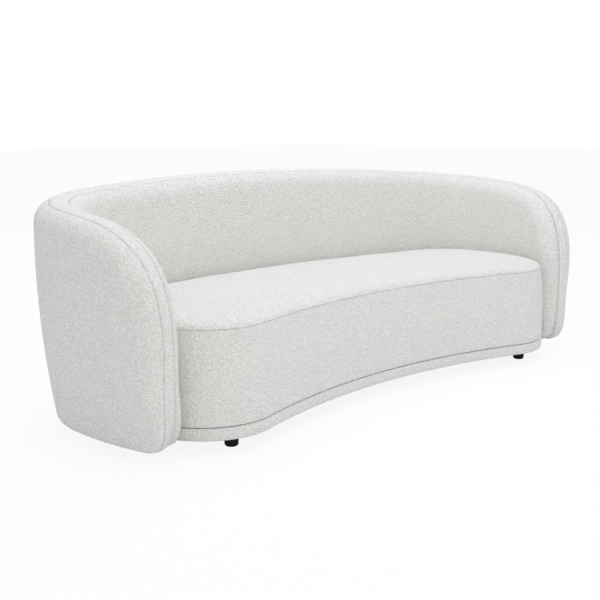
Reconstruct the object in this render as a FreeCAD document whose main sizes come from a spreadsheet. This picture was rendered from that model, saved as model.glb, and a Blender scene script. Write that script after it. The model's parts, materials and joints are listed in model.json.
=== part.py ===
import FreeCAD, Part
import math
import os
import Sketcher
from FreeCAD import Placement, Rotation, Vector

# Curved sofa. A C-shaped padded shell stands round a kidney-shaped seat block.
# Millimetres. +Z is up, the seat opens towards -Y, and +X is the sitter's left.
# The origin is on the floor at the middle of the sofa's footprint.

doc = FreeCAD.newDocument("curved_sofa")

# Driving dimensions
DIMENSIONS = [
    ("overall_depth", 958.0, "front of the lobes to the outside of the back"),
    ("back_height", 804.0, "floor to the crest at the middle of the back"),
    ("shell_thickness", 156.0, "padded wall, outside to inside"),
    ("shell_clearance", 40.0, "floor to the underside of the shell"),
    ("back_radius", 3768.0, "outside of the back in plan"),
    ("corner_centre", 761.0, "sideways place of the rear corner's centre"),
    ("corner_radius", 448.0, "outside of the rear corner in plan"),
    ("corner_sweep", 89.0, "degrees from straight back to the end of the corner"),
    ("side_radius", 1154.0, "outside of the arm in plan"),
    ("arm_reach", 394.0, "centre of the arm's curve to the arm's tip, along Y"),
    ("crest_drop", 68.0, "fall of the crest from the middle to the arm's brow"),
    ("brow_length", 395.0, "length of the arm's falling front curve"),
    ("toe_length", 92.0, "length of the arm's lower front curve"),
    ("arm_nose", 261.0, "height where the arm reaches furthest forward"),
    ("brow_squareness", 3.2, "exponent of the arm's front curves"),
    ("back_stations", 4.0, "sections through half the back"),
    ("corner_stations", 8.0, "sections through each rear corner"),
    ("brow_stations", 10.0, "sections through each arm's front"),
    ("edge_radius", 64.0, "roundness of the crest"),
    ("hem_radius", 16.0, "roundness of the shell's lower edge"),
    ("belly_radius", 3255.0, "vertical curve of the shell's outside"),
    ("belly_height", 592.0, "height where the outside stands out furthest"),
    ("inner_crown", 7.0, "swell of the inside panel"),
    ("seam_inside_back", 45.0, "middle of the wall to the inner seam, back"),
    ("seam_inside_arm", 17.0, "middle of the wall to the inner seam, arm tip"),
    ("seam_outside_back", 30.0, "middle of the wall to the outer seam, back"),
    ("seam_outside_arm", 25.0, "middle of the wall to the outer seam, arm tip"),
    ("band_depth", 30.0, "padding under the edge band"),
    ("nose_flat", 0.5, "small flat where the arm's tip closes"),
    ("round_steps", 4.0, "flats round each rounded edge of the padded wall"),
    ("belly_steps", 4.0, "flats down the outside of the padded wall"),
    ("seam_gap", 0.4, "between two padded panels at a seam"),
    ("fit_gap", 0.3, "between neighbouring pieces"),
    ("frame_inside", 15.0, "middle of the wall to the frame's inner face"),
    ("board", 18.0, "plywood of the frames"),
    ("liner", 3.0, "hardboard behind the outside panel"),
    ("rib_spacing", 290.0, "between the shell's ribs along the wall"),
    ("rib_slot", 22.0, "width of the rib's lightening slot"),
    ("curve_play", 2.0, "straight pieces to the bent boards beside them"),
    ("mount_rail_base", 150.0, "underside of the rail that takes the bolts"),
    ("mount_rail_rise", 100.0, "height of that rail"),
    ("tack_rail_base", 440.0, "underside of the tacking rail"),
    ("tack_rail_rise", 60.0, "height of the tacking rail"),
    ("foam_base", 262.0, "underside of the back's comfort foam"),
    ("webbing_width", 55.0, "elastic webbing"),
    ("webbing_thickness", 2.0, "elastic webbing"),
    ("webbing_pitch", 72.0, "between the back's webs"),
    ("back_web_count", 4.0, "webs across the back"),
    ("foam_reach", 1290.0, "half length of the back's foam along the wall"),
    ("rim_split", 120.0, "from the arm curve's centre to the joint of the rim boards"),
    ("webbing_reach", 1160.0, "half length of the back's webs along the wall"),
    ("seat_height", 420.0, "floor to the seat at its edge"),
    ("seat_crown", 9.0, "swell of the seat's top"),
    ("seat_front_radius", 2316.0, "hollow front of the seat in plan"),
    ("lobe_radius", 234.0, "round ends of the seat's front in plan"),
    ("lobe_centre", 780.0, "sideways place of a lobe's centre"),
    ("seat_clearance", 9.5, "seat to the edge of the shell's swelling inside"),
    ("seat_seam", 389.0, "height of the seam round the seat's top"),
    ("seat_edge", 75.0, "how far in the seat's top edge is rounded"),
    ("crown_run", 80.0, "from that edge to the flat of the crown"),
    ("seat_lean", 16.0, "how far the seat's front leans in at the seam"),
    ("lean_start", 289.0, "height where the seat's front begins to lean in"),
    ("border_tuck", 8.0, "height of the border's turned lower edge"),
    ("groove_height", 88.0, "height of the groove above the plinth"),
    ("groove_width", 4.0, "height of the groove"),
    ("plinth_base", 48.0, "floor to the underside of the base board"),
    ("plinth_drop", 2.0, "how far the plinth's padding hangs below the base board"),
    ("plinth_padding", 14.0, "padding and cover of the plinth"),
    ("plinth_round", 6.0, "rounded edges of the plinth"),
    ("rim_inset", 30.0, "seat outline to the rim boards and the foam"),
    ("rim_board", 15.0, "rim boards round the seat box"),
    ("deck_height", 250.0, "top of the rim boards"),
    ("felt_thickness", 4.0, "felt between webbing and foam"),
    ("cross_rail_near", 240.0, "sideways place of the inner cross rails"),
    ("cross_rail_far", 600.0, "sideways place of the outer cross rails"),
    ("deck_web_pitch", 190.0, "between the deck's front to back webs"),
    ("deck_web_count", 9.0, "front to back webs of the deck"),
    ("well_length", 300.0, "openings in the base board, along X"),
    ("well_depth", 230.0, "openings in the base board, along Y"),
    ("well_corner", 40.0, "cut corners of those openings"),
    ("foot_radius", 25.0, "feet at the top"),
    ("foot_base_radius", 22.0, "feet at the floor"),
    ("foot_round", 4.0, "rounded lower edge of the feet"),
    ("front_foot_inset", 82.0, "edge of the lobe to a front foot's centre"),
    ("front_foot_turn", 10.6, "degrees outward from straight ahead, lobe centre to front foot"),
    ("rear_foot_x", 740.0, "sideways place of the rear feet"),
    ("rear_foot_inset", 67.0, "back edge of the seat to a rear foot's centre"),
    ("bolt_radius", 4.0, "shank of the bolts of the shell and the feet"),
    ("bolt_out", 7.0, "how far a bolt stands out beyond its nut"),
    ("nut_side", 26.0, "sides of the square threaded plates"),
    ("nut_plate", 4.0, "thickness of the threaded plates"),
    ("bolt_head_radius", 7.5, "hexagonal head of the shell's bolts, to its corners"),
    ("bolt_head", 5.3, "height of that head"),
    ("hole_clearance", 0.5, "bolt holes beyond the shank"),
    ("rail_overrun", 50.0, "bent rails beyond the side bolts"),
    ("former_frame", 62.0, "width of the frames inside the arms' fronts"),
    ("spacer", 50.0, "sides of the square spacer blocks round the shell's bolts"),
    ("bolt_spacing", 340.0, "middle of the back to the back's bolts, along the wall"),
    ("corner_block", 60.0, "legs of the glued corner blocks"),
    ("dust_cloth", 1.0, "black cloth under the frames"),
    ("cut_past", 1.0, "how far a cutting shape runs past the face that it cuts"),
]

sheet = doc.addObject("Spreadsheet::Sheet", "Sizes")
for row, (alias, value, note) in enumerate(DIMENSIONS, start=1):
    sheet.set(f"A{row}", alias)
    sheet.set(f"B{row}", str(value))
    sheet.set(f"C{row}", note)
    sheet.setAlias(f"B{row}", alias)
doc.recompute()
size = {alias: float(sheet.get(alias)) for alias, value, note in DIMENSIONS}

gap = size["fit_gap"]
past = size["cut_past"]
half_wall = size["shell_thickness"] / 2
rear_y = size["overall_depth"] / 2
front_y = -size["overall_depth"] / 2


# The wall's middle line in plan: back arc, corner arc and side arc, tangent to each other.
class WallLine:
    def __init__(self):
        back, corner, side = size["back_radius"], size["corner_radius"], size["side_radius"]
        self.back_centre = Vector(0, rear_y - back, 0)
        reach = math.sqrt((back - corner) ** 2 - size["corner_centre"] ** 2)
        self.corner_centre = Vector(size["corner_centre"], self.back_centre.y + reach, 0)
        self.start = math.atan2(size["corner_centre"], reach)
        self.turn = math.radians(size["corner_sweep"])
        inward = Vector(math.sin(self.turn), math.cos(self.turn), 0) * (corner - side)
        self.side_centre = self.corner_centre + inward
        self.end = math.acos(-size["arm_reach"] / side)
        self.arcs = [
            (self.back_centre, back - half_wall, 0.0, self.start),
            (self.corner_centre, corner - half_wall, self.start, self.turn),
            (self.side_centre, side - half_wall, self.turn, self.end),
        ]
        self.length = sum(radius * (b - a) for centre, radius, a, b in self.arcs)

    def heading(self, along):
        """Arc and angle from straight back at a distance along the right half."""
        left = along
        for centre, radius, a, b in self.arcs:
            if left <= radius * (b - a) or b == self.end:
                return centre, radius, a + left / radius
            left -= radius * (b - a)

    def frame(self, along):
        """Point on the middle line and the outward direction, for either half."""
        centre, radius, angle = self.heading(abs(along))
        mirror = 1 if along >= 0 else -1
        outward = Vector(mirror * math.sin(angle), math.cos(angle), 0)
        point = Vector(mirror * centre.x, centre.y, 0) + outward * radius
        return point, outward

    def place(self, along, offset, height):
        point, outward = self.frame(along)
        return point + outward * offset + Vector(0, 0, height)


wall = WallLine()
tip = wall.length


def superellipse(share):
    power = size["brow_squareness"]
    return (1 - min(max(share, 0.0), 1.0) ** power) ** (1 / power)


def crest(along, inset=0.0):
    """Height of the crest, or of a line that stays inset below and behind it."""
    reach = tip - inset
    start = reach - size["brow_length"]
    slope = 2 * size["crest_drop"] / start
    if abs(along) <= start:
        return size["back_height"] - inset - size["crest_drop"] * (along / start) ** 2
    past = abs(along) - start
    top = size["back_height"] - inset - size["crest_drop"] - slope * past
    return size["arm_nose"] + (top - size["arm_nose"]) * superellipse(past / size["brow_length"])


def hem(along, low, inset=0.0, length=None):
    """Height of the shell's lower edge, which rises round the toe of the arm."""
    toe = size["toe_length"] if length is None else length
    past = abs(along) - (tip - inset - toe)
    if past <= 0:
        return low
    return size["arm_nose"] - (size["arm_nose"] - low) * superellipse(past / toe)


def blend(back_value, arm_value, along):
    """A width that stays the same along the back and changes evenly along the arm."""
    arm_length = tip - wall.arcs[0][1] * wall.start
    share = min(max((abs(along) - (tip - arm_length)) / arm_length, 0.0), 1.0)
    return back_value + (arm_value - back_value) * share


def seam_inside(along):
    return blend(size["seam_inside_back"], size["seam_inside_arm"], along)


def seam_outside(along):
    return blend(size["seam_outside_back"], size["seam_outside_arm"], along)


def stations(end):
    """Places along the wall: even along its arcs, and closer together towards each tip."""
    body_end = end - size["brow_length"]
    steps = {0: int(size["back_stations"]), 1: int(size["corner_stations"]), 2: 2}
    body, start = [], 0.0
    for index, (centre, radius, a, b) in enumerate(wall.arcs):
        length = radius * (b - a)
        body += [start + length * step / steps[index] for step in range(steps[index])]
        start += length
    body = [along for along in body if along < body_end - size["shell_thickness"] / 8]
    count = int(size["brow_stations"])
    nose = [body_end + (end - body_end) * math.sin(math.pi / 2 * step / count)
            for step in range(count)] + [end]
    right = body + nose
    return [-along for along in reversed(right[1:])] + right


def arc(a, middle, b):
    return Part.Arc(a, middle, b).toShape()


def belly(height):
    """How far the outside has drawn in at a height."""
    rise = height - size["belly_height"]
    return size["belly_radius"] - math.sqrt(size["belly_radius"] ** 2 - rise ** 2)


def wall_section(along):
    """Closed outline of the padded wall, square to the middle line."""
    radius = size["edge_radius"]
    nose = min((tip - abs(along)) / radius, 1.0)
    half = half_wall - radius + radius * math.sqrt(1 - (1 - nose) ** 2)
    top = crest(along)
    low = hem(along, size["shell_clearance"])
    share = half / half_wall
    round_top = min(radius, 0.82 * half)
    round_low = min(size["hem_radius"], 0.4 * half)
    upper, lower = top - round_top, low + round_low
    round_steps, belly_steps = int(size["round_steps"]), int(size["belly_steps"])
    bends = [math.pi / 2 * step / round_steps for step in range(round_steps + 1)]

    def outside(height):
        return half - belly(height) * share

    heights = [lower + (upper - lower) * step / belly_steps for step in range(belly_steps)]
    edge_inside = [(-half + round_top * (1 - math.cos(bend)), upper + round_top * math.sin(bend))
                   for bend in bends]
    edge_outside = [(outside(upper) - round_top * (1 - math.cos(bend)),
                     upper + round_top * math.sin(bend)) for bend in bends]
    points = [(outside(lower) - round_low, low), (-half + round_low, low), (-half, lower),
              (-half - size["inner_crown"] * share, (top + low) / 2)]
    points += edge_inside + edge_outside[::-1]
    points += [(outside(height), height) for height in reversed(heights)]
    corners = [wall.place(along, offset, height) for offset, height in points]
    return Part.makePolygon(corners + corners[:1])


def slab(places, inner, outer, low, high):
    """A curved board: a loft through upright rectangles square to the middle line."""
    sections = []
    for along in places:
        a, b = inner(along), outer(along)
        bottom, top = low(along), high(along)
        corners = [wall.place(along, a, bottom), wall.place(along, b, bottom),
                   wall.place(along, b, top), wall.place(along, a, top)]
        sections.append(Part.makePolygon(corners + corners[:1]))
    return Part.makeLoft(sections, True, True)


def constant(value):
    return lambda along: value


nodes = []


def node(item, name):
    item.Label = name
    nodes.append(item)
    return item


def feature(name, shape):
    item = doc.addObject("Part::Feature", name)
    item.Shape = shape
    item.Placement = Placement()
    return node(item, name)


def compound(name, shapes):
    return feature(name, Part.makeCompound(shapes))


def cut_away(shape, tools):
    for tool in tools:
        shape = shape.cut(tool)
    return shape


def rod(along, inner, outer, radius, height):
    """A round bar square to the wall, between two offsets from its middle line."""
    start = wall.place(along, inner, height)
    return Part.makeCylinder(radius, outer - inner, start, wall.frame(along)[1])


def upright(along, inner, outer, low, high, thickness):
    """A board that stands square to the wall, its thickness along the wall."""
    point, outward = wall.frame(along)
    board = Part.makeBox(thickness, outer - inner, high - low,
                         Vector(-thickness / 2, inner, low))
    turn = math.degrees(math.atan2(outward.y, outward.x)) - 90
    board.Placement = Placement(point, Rotation(Vector(0, 0, 1), turn))
    return board


# Seat outline: hollow front, round lobes, sides and rear that follow the shell's inside.
class SeatOutline:
    def __init__(self):
        lobe = size["lobe_radius"]
        inner = size["shell_thickness"] + size["seat_clearance"]
        self.lobe_centre = Vector(size["lobe_centre"], front_y + lobe, 0)
        reach = math.sqrt((size["seat_front_radius"] + lobe) ** 2 - size["lobe_centre"] ** 2)
        self.front_centre = Vector(0, self.lobe_centre.y - reach, 0)
        widest = wall.side_centre.x + size["side_radius"] - inner
        across = widest - self.lobe_centre.x
        back = wall.side_centre.y - self.lobe_centre.y
        self.side_radius = (across ** 2 + back ** 2 - lobe ** 2) / (2 * (across - lobe))
        self.side_centre = Vector(widest - self.side_radius, wall.side_centre.y, 0)
        self.back_radius = size["back_radius"] - inner
        self.back_centre = wall.back_centre
        self.corner_radius = size["corner_radius"] - inner
        self.corner_centre = self.meeting(self.back_centre, self.back_radius,
                                          self.side_centre, self.side_radius, self.corner_radius)

    @staticmethod
    def meeting(centre_a, radius_a, centre_b, radius_b, radius):
        """Centre of the circle that touches two larger circles from inside."""
        a, b = radius_a - radius, radius_b - radius
        line = centre_b - centre_a
        distance = line.Length
        along = (a ** 2 - b ** 2 + distance ** 2) / (2 * distance)
        aside = math.sqrt(a ** 2 - along ** 2)
        unit = line / distance
        normal = Vector(unit.y, -unit.x, 0)
        return centre_a + unit * along + normal * aside

    def wire(self, height, inset):
        """The outline drawn in by an inset, as eight tangent arcs."""
        lobe, corner = self.lobe_centre, self.corner_centre
        front = (lobe - self.front_centre).normalize()
        side_low = (lobe - self.side_centre).normalize()
        side_high = (corner - self.side_centre).normalize()
        rear = (corner - self.back_centre).normalize()
        radius = {
            "front": size["seat_front_radius"] + inset,
            "lobe": size["lobe_radius"] - inset,
            "side": self.side_radius - inset,
            "corner": self.corner_radius - inset,
            "back": self.back_radius - inset,
        }
        lift = Vector(0, 0, height)

        def right(centre, direction, length):
            return centre + direction * length + lift

        def left(point):
            return Vector(-point.x, point.y, point.z)

        def bisector(a, b):
            return (a + b).normalize()

        turn = (side_low - front).normalize()
        front_end = right(self.front_centre, front, radius["front"])
        lobe_mid = right(lobe, turn, radius["lobe"])
        side_start = right(self.side_centre, side_low, radius["side"])
        side_mid = right(self.side_centre, bisector(side_low, side_high), radius["side"])
        corner_start = right(corner, side_high, radius["corner"])
        corner_mid = right(corner, bisector(side_high, rear), radius["corner"])
        back_start = right(corner, rear, radius["corner"])
        front_mid = self.front_centre + Vector(0, radius["front"], 0) + lift
        back_mid = self.back_centre + Vector(0, radius["back"], 0) + lift
        return Part.Wire([
            arc(left(front_end), front_mid, front_end),
            arc(front_end, lobe_mid, side_start),
            arc(side_start, side_mid, corner_start),
            arc(corner_start, corner_mid, back_start),
            arc(back_start, back_mid, left(back_start)),
            arc(left(back_start), left(corner_mid), left(corner_start)),
            arc(left(corner_start), left(side_mid), left(side_start)),
            arc(left(side_start), left(lobe_mid), left(front_end)),
        ])

    def plate(self, low, high, inset):
        face = Part.Face(self.wire(low, inset))
        return face.extrude(Vector(0, 0, high - low))

    def loft(self, levels):
        return Part.makeLoft([self.wire(height, inset) for height, inset in levels], True, True)

    def front_at(self, x, inset):
        return self.front_centre.y + math.sqrt((size["seat_front_radius"] + inset) ** 2 - x ** 2)

    def back_at(self, x, inset):
        return self.back_centre.y + math.sqrt((self.back_radius - inset) ** 2 - x ** 2)


seat = SeatOutline()

# Shell panels and edge band
shell_end = tip - size["nose_flat"]
shell_run = stations(shell_end)
padded_wall = Part.makeLoft([wall_section(along) for along in shell_run], True, True)
beyond = 60.0
long_run = [shell_run[0] - beyond] + shell_run + [shell_run[-1] + beyond]
above = constant(size["back_height"] + beyond)
below = constant(-beyond)
seam_slack = size["seam_gap"] / 2
between_panels = slab(long_run, lambda along: -seam_inside(along) - seam_slack,
                      lambda along: seam_outside(along) + seam_slack, below, above)
between_seams = slab(long_run, lambda along: -seam_inside(along) + seam_slack,
                     lambda along: seam_outside(along) - seam_slack, below, above)
band_depth = size["band_depth"]
core_end = tip - band_depth - size["nose_flat"]
core_toe = size["toe_length"] + band_depth
core_space = slab(stations(core_end), constant(-2 * half_wall), constant(2 * half_wall),
                  lambda along: hem(along, -beyond, band_depth, core_toe),
                  lambda along: crest(along, band_depth))


def shell_bolts():
    """Places along the wall and a height for each bolt that holds the shell to the seat box."""
    side_place = tip - wall.arcs[2][1] * (wall.end - math.pi / 2)
    places = [-side_place, -size["bolt_spacing"], size["bolt_spacing"], side_place]
    return places, size["mount_rail_base"] + size["mount_rail_rise"] / 2


bolt_places, bolt_height = shell_bolts()
rim_outside = -half_wall - size["seat_clearance"] - size["rim_inset"]
rim_inside = rim_outside - size["rim_board"]
rail_inside = -size["frame_inside"]
rail_outside = rail_inside + size["board"]
bolt_hole = size["bolt_radius"] + size["hole_clearance"]
spacer = size["spacer"]


def bolt_blocks(inner, outer, side, opening=None):
    """A square block round each of the shell's bolts, between two offsets."""
    blocks = []
    for along in bolt_places:
        block = upright(along, inner, outer, bolt_height - side / 2, bolt_height + side / 2, side)
        blocks.append(block.cut(opening(along, inner - past, outer + past)) if opening else block)
    return blocks


def round_opening(along, inner, outer):
    return rod(along, inner, outer, bolt_hole, bolt_height)


def slot_opening(along, inner, outer):
    """A slot from below, so that the block can be slipped over its bolt."""
    return upright(along, inner, outer, bolt_height - spacer, bolt_height + bolt_hole, 2 * bolt_hole)


spacer_space = bolt_blocks(rim_outside - past, rail_inside, spacer + 2 * gap)
shank_holes = [rod(along, rim_inside - size["board"], rim_outside + size["board"],
                   bolt_hole, bolt_height) for along in bolt_places]
nut_holes = [rod(along, rail_inside - size["board"], rail_outside + size["board"],
                 bolt_hole, bolt_height) for along in bolt_places]

panels = padded_wall.cut(between_panels).Solids
panels.sort(key=lambda solid: solid.BoundBox.YMax)
inside_panel, outside_panel = panels
feature("shell_inside_panel", cut_away(inside_panel, spacer_space))
feature("shell_outside_panel", outside_panel)
feature("shell_edge_band", padded_wall.common(between_seams).cut(core_space))

# Shell frame: bent rails, ribs between them, front formers, hardboard, webs and foam
frame_low = size["shell_clearance"] + size["hem_radius"]
rail_needed = bolt_places[-1] + size["rail_overrun"]
frame_end = min(along for along in stations(core_end) if along > rail_needed)
frame_run = [along for along in stations(core_end) if abs(along) <= frame_end]
low_rail_top = frame_low + size["board"]


def liner_outside(along):
    return seam_outside(along) - gap


def liner_inside(along):
    return liner_outside(along) - size["liner"]


def board_outside(along):
    return liner_inside(along) - gap


def core_top(along):
    return crest(along, band_depth) - gap


def rail_top(along):
    return core_top(along) - size["board"]


feature("shell_bottom_rail", slab(frame_run, constant(rail_inside), board_outside,
                                  constant(frame_low), constant(low_rail_top)))
feature("shell_top_rail", slab(frame_run, constant(rail_inside), board_outside, rail_top, core_top))


def inner_rail(name, base, rise, holes):
    rail = slab(frame_run, constant(rail_inside), constant(rail_outside),
                constant(base), constant(base + rise))
    feature(name, cut_away(rail, holes))
    return slab(frame_run, constant(rail_inside - past), constant(rail_outside + gap),
                constant(base - gap), constant(base + rise + gap))


notches = [
    inner_rail("shell_mount_rail", size["mount_rail_base"], size["mount_rail_rise"], nut_holes),
    inner_rail("shell_tacking_rail", size["tack_rail_base"], size["tack_rail_rise"], []),
]


def rib(along):
    """Plywood rib with a slot for lightness, notched over the inner rails."""
    high = rail_top(abs(along) + size["board"]) - gap
    low = low_rail_top + gap
    outer = board_outside(along) - size["curve_play"]
    board = upright(along, rail_inside, outer, low, high, size["board"])
    slots = []
    for bottom, top in ((low, size["mount_rail_base"]),
                        (size["mount_rail_base"] + size["mount_rail_rise"], size["tack_rail_base"]),
                        (size["tack_rail_base"] + size["tack_rail_rise"], high)):
        margin = size["rib_slot"]
        if top - bottom > 4 * margin:
            centre = (rail_inside + outer) / 2
            half_slot = size["rib_slot"] / 2
            slots.append(upright(along, centre - half_slot, centre + half_slot,
                                 bottom + margin, top - margin, 2 * size["board"]))
    return cut_away(board, slots + notches)


rib_count = int((frame_end - size["board"]) // size["rib_spacing"])
rib_places = [side * size["rib_spacing"] * (index + 0.5)
              for side in (-1, 1) for index in range(rib_count + 1)
              if size["rib_spacing"] * (index + 0.5) < frame_end - size["board"]]
for number, along in enumerate(sorted(rib_places), start=1):
    feature(f"shell_rib_{number}", rib(along))


def former(side):
    """Shaped frame inside an arm's front, from the last rail to the band's padding."""
    start, end = frame_end + gap, core_end - gap
    margin = size["former_frame"]

    def places(first, last):
        inner = [along for along in stations(end) if first < along < last]
        run = [side * along for along in [first] + inner + [last]]
        return run if side > 0 else run[::-1]

    def inside(along):
        return -min(size["frame_inside"], seam_inside(along) - gap)

    def toe(along):
        return hem(along, frame_low, band_depth, core_toe) + gap

    block = slab(places(start, end), inside, liner_outside, toe, core_top)
    window = slab(places(start + margin, end - margin), constant(-half_wall), constant(half_wall),
                  lambda along: toe(along) + margin, lambda along: core_top(along) - margin)
    return block.cut(window)


for side, hand in ((-1, "right"), (1, "left")):
    feature(f"{hand}_arm_former", former(side))

feature("shell_hardboard", slab(frame_run, liner_inside, liner_outside,
                                constant(frame_low), core_top))
web_back = rail_inside - gap
web_front = web_back - size["webbing_thickness"]
web_base = size["tack_rail_base"] + size["tack_rail_rise"] - size["webbing_width"]
web_run = [along for along in frame_run if abs(along) < size["webbing_reach"]]
for index in range(int(size["back_web_count"])):
    base = web_base + index * size["webbing_pitch"]
    feature(f"back_web_{index + 1}",
            slab(web_run, constant(web_front), constant(web_back),
                 constant(base), constant(base + size["webbing_width"])))
foam_run = [along for along in frame_run if abs(along) < size["foam_reach"]]
feature("back_foam", slab(foam_run, lambda along: -seam_inside(along) + gap,
                          constant(web_front - gap), constant(size["foam_base"]), core_top))
feature("shell_dust_cloth", slab(frame_run, lambda along: -seam_inside(along), liner_outside,
                                 constant(frame_low - gap - size["dust_cloth"]),
                                 constant(frame_low - gap)))

# Seat block: border, foam, felt and top panel over a boxed frame
groove_top = size["groove_height"] + size["groove_width"] / 2
groove_low = size["groove_height"] - size["groove_width"] / 2
seam = size["seat_seam"]
crown_top = size["seat_height"] + size["seat_crown"]
lean = size["seat_lean"]
edge = size["seat_edge"]
lean_start = size["lean_start"]
border_levels = [(groove_top, size["plinth_round"]), (groove_top + size["border_tuck"], 0.0),
                 (lean_start, 0.0)]
border_levels += [(lean_start + (seam - lean_start) * share, lean * share ** 2)
                  for share in (0.6, 1.0)]
deck = size["deck_height"]
border_core = seat.plate(groove_top - past, seam + past, size["rim_inset"] - gap)
feature("seat_border", cut_away(seat.loft(border_levels), [border_core] + spacer_space))
top_base = seam + size["seam_gap"]
top_levels = [(top_base + (size["seat_height"] - seam) * math.sin(math.radians(bend)),
               lean + edge * (1 - math.cos(math.radians(bend)))) for bend in (0, 30, 60, 90)]
top_levels.append((crown_top, lean + edge + size["crown_run"]))
feature("seat_top_panel", seat.loft(top_levels))

rim_low = size["plinth_base"] + size["board"] + gap
rim = seat.plate(rim_low, deck, size["rim_inset"]).cut(
    seat.plate(rim_low - past, deck + past, size["rim_inset"] + size["rim_board"]))
split_y = wall.side_centre.y - size["rim_split"]
rear_space = Part.makeBox(2 * tip, tip, deck, Vector(-tip, split_y + gap / 2, 0))
front_space = Part.makeBox(2 * tip, tip, deck, Vector(-tip, split_y - gap / 2 - tip, 0))
feature("seat_front_rim", rim.common(front_space))
feature("seat_back_rim", cut_away(rim.common(rear_space), shank_holes))

# Seat box: cross rails, corner blocks, base board, webs and felt
rail_low, rail_high = rim_low, deck - size["webbing_width"] / 2
inset = size["rim_inset"] + size["rim_board"]


def add(kind, name, **expressions):
    """A primitive whose sizes are bound to the sheet."""
    item = doc.addObject(kind, name)
    for prop, formula in expressions.items():
        item.setExpression(prop.replace("__", "."), formula)
    return item


def group(name, members):
    item = doc.addObject("Part::Compound", name)
    item.Links = members
    return node(item, name)


CROSS_RAILS = [(-1, "cross_rail_far"), (-1, "cross_rail_near"),
               (1, "cross_rail_near"), (1, "cross_rail_far")]
for number, (side, place) in enumerate(CROSS_RAILS, start=1):
    x = size[place]
    low_y = seat.front_at(x - size["board"] / 2, inset) + gap
    high_y = seat.back_at(x + size["board"] / 2, inset) - gap
    rail = add("Part::Box", f"seat_cross_rail_{number}",
               Length="Sizes.board", Height="Sizes.deck_height - Sizes.plinth_base"
               " - Sizes.board - Sizes.fit_gap - Sizes.webbing_width / 2")
    rail.Width = high_y - low_y
    rail.Placement.Base = Vector(side * x - size["board"] / 2, low_y, rail_low)
    node(rail, rail.Name)


def corner_blocks():
    """Glued triangular blocks between the cross rails and the back rim."""
    blocks = []
    leg = size["corner_block"]
    for side in (-1, 1):
        for place in ("cross_rail_near", "cross_rail_far"):
            for hand in (-1, 1):
                x = side * size[place] + hand * (size["board"] / 2 + gap)
                far = x + hand * leg
                y = min(seat.back_at(x, inset), seat.back_at(far, inset)) - gap
                face = Part.Face(Part.makePolygon([
                    Vector(x, y, rail_low), Vector(far, y, rail_low),
                    Vector(x, y - leg, rail_low), Vector(x, y, rail_low)]))
                blocks.append(face.extrude(Vector(0, 0, rail_high - rail_low)))
    return blocks


compound("seat_corner_blocks", corner_blocks())

board_inset = size["plinth_padding"] + gap
base_low = size["plinth_base"]
base_top = base_low + size["board"]
foot_turn = math.radians(size["front_foot_turn"])
foot_reach = size["lobe_radius"] - size["front_foot_inset"]
front_foot = seat.lobe_centre + Vector(math.sin(foot_turn), -math.cos(foot_turn), 0) * foot_reach
rear_foot_y = seat.back_at(size["rear_foot_x"], size["rear_foot_inset"])
foot_places = [(side * x, y) for x, y in ((front_foot.x, front_foot.y),
                                          (size["rear_foot_x"], rear_foot_y)) for side in (-1, 1)]


def well(x, y):
    """Opening that lightens the base board."""
    length, depth = size["well_length"], size["well_depth"]
    block = Part.makeBox(length, depth, 3 * size["board"],
                         Vector(x - length / 2, y - depth / 2, base_low - size["board"]))
    upright_edges = [side for side in block.Edges if abs(side.tangentAt(side.FirstParameter).z) > 0.9]
    return block.makeChamfer(size["well_corner"], upright_edges)


def drilled(radius, low, high):
    return [Part.makeCylinder(radius, high - low, Vector(x, y, low)) for x, y in foot_places]


def foot_plates(side, low, high):
    return [Part.makeBox(side, side, high - low, Vector(x - side / 2, y - side / 2, low))
            for x, y in foot_places]


base_board = seat.plate(base_low, base_top, board_inset)
well_y = (seat.front_at(0, 0) + seat.back_at(0, 0)) / 2
well_x = (size["cross_rail_near"] + size["cross_rail_far"]) / 2
wells = [well(x, well_y) for x in (-well_x, 0, well_x)]
board_holes = drilled(bolt_hole, base_low - past, base_top + past)
feature("base_board", cut_away(base_board, wells + board_holes))

plinth_round = size["plinth_round"]
plinth_low = base_low - size["plinth_drop"]
plinth_face = seat.loft([
    (plinth_low, plinth_round), (plinth_low + plinth_round, 0.0),
    (groove_low - plinth_round, 0.0), (groove_low, plinth_round)])
plinth_core = seat.plate(plinth_low - past, groove_low + past, size["plinth_padding"])
feature("plinth_border", plinth_face.cut(plinth_core))
cloth_low = base_low - gap - size["dust_cloth"]
feature("base_dust_cloth", cut_away(
    seat.plate(cloth_low, base_low - gap, size["plinth_padding"] + gap),
    foot_plates(3 * size["bolt_radius"], cloth_low - past, base_low)))

deck_webs = []
web_count = int(size["deck_web_count"])
web_inset = size["rim_inset"] + size["rim_board"] / 4
for index in range(web_count):
    x = (index - (web_count - 1) / 2) * size["deck_web_pitch"]
    half = size["webbing_width"] / 2
    low_y = max(seat.front_at(min(abs(x) + half, size["lobe_centre"]), web_inset),
                seat.lobe_centre.y - size["lobe_radius"] / 2)
    high_y = seat.back_at(abs(x) + half, web_inset)
    webbing = add("Part::Box", f"deck_web_{index + 1}",
                  Length="Sizes.webbing_width", Height="Sizes.webbing_thickness")
    webbing.Width = high_y - low_y
    webbing.Placement.Base = Vector(x - half, low_y, deck + gap)
    deck_webs.append(webbing)
group("deck_webbing", deck_webs)
felt_low = deck + 2 * gap + size["webbing_thickness"]
felt_top = felt_low + size["felt_thickness"]
feature("deck_felt", seat.plate(felt_low, felt_top, size["rim_inset"]))
feature("seat_foam", seat.plate(felt_top + gap, seam - gap, size["rim_inset"]))

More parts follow.
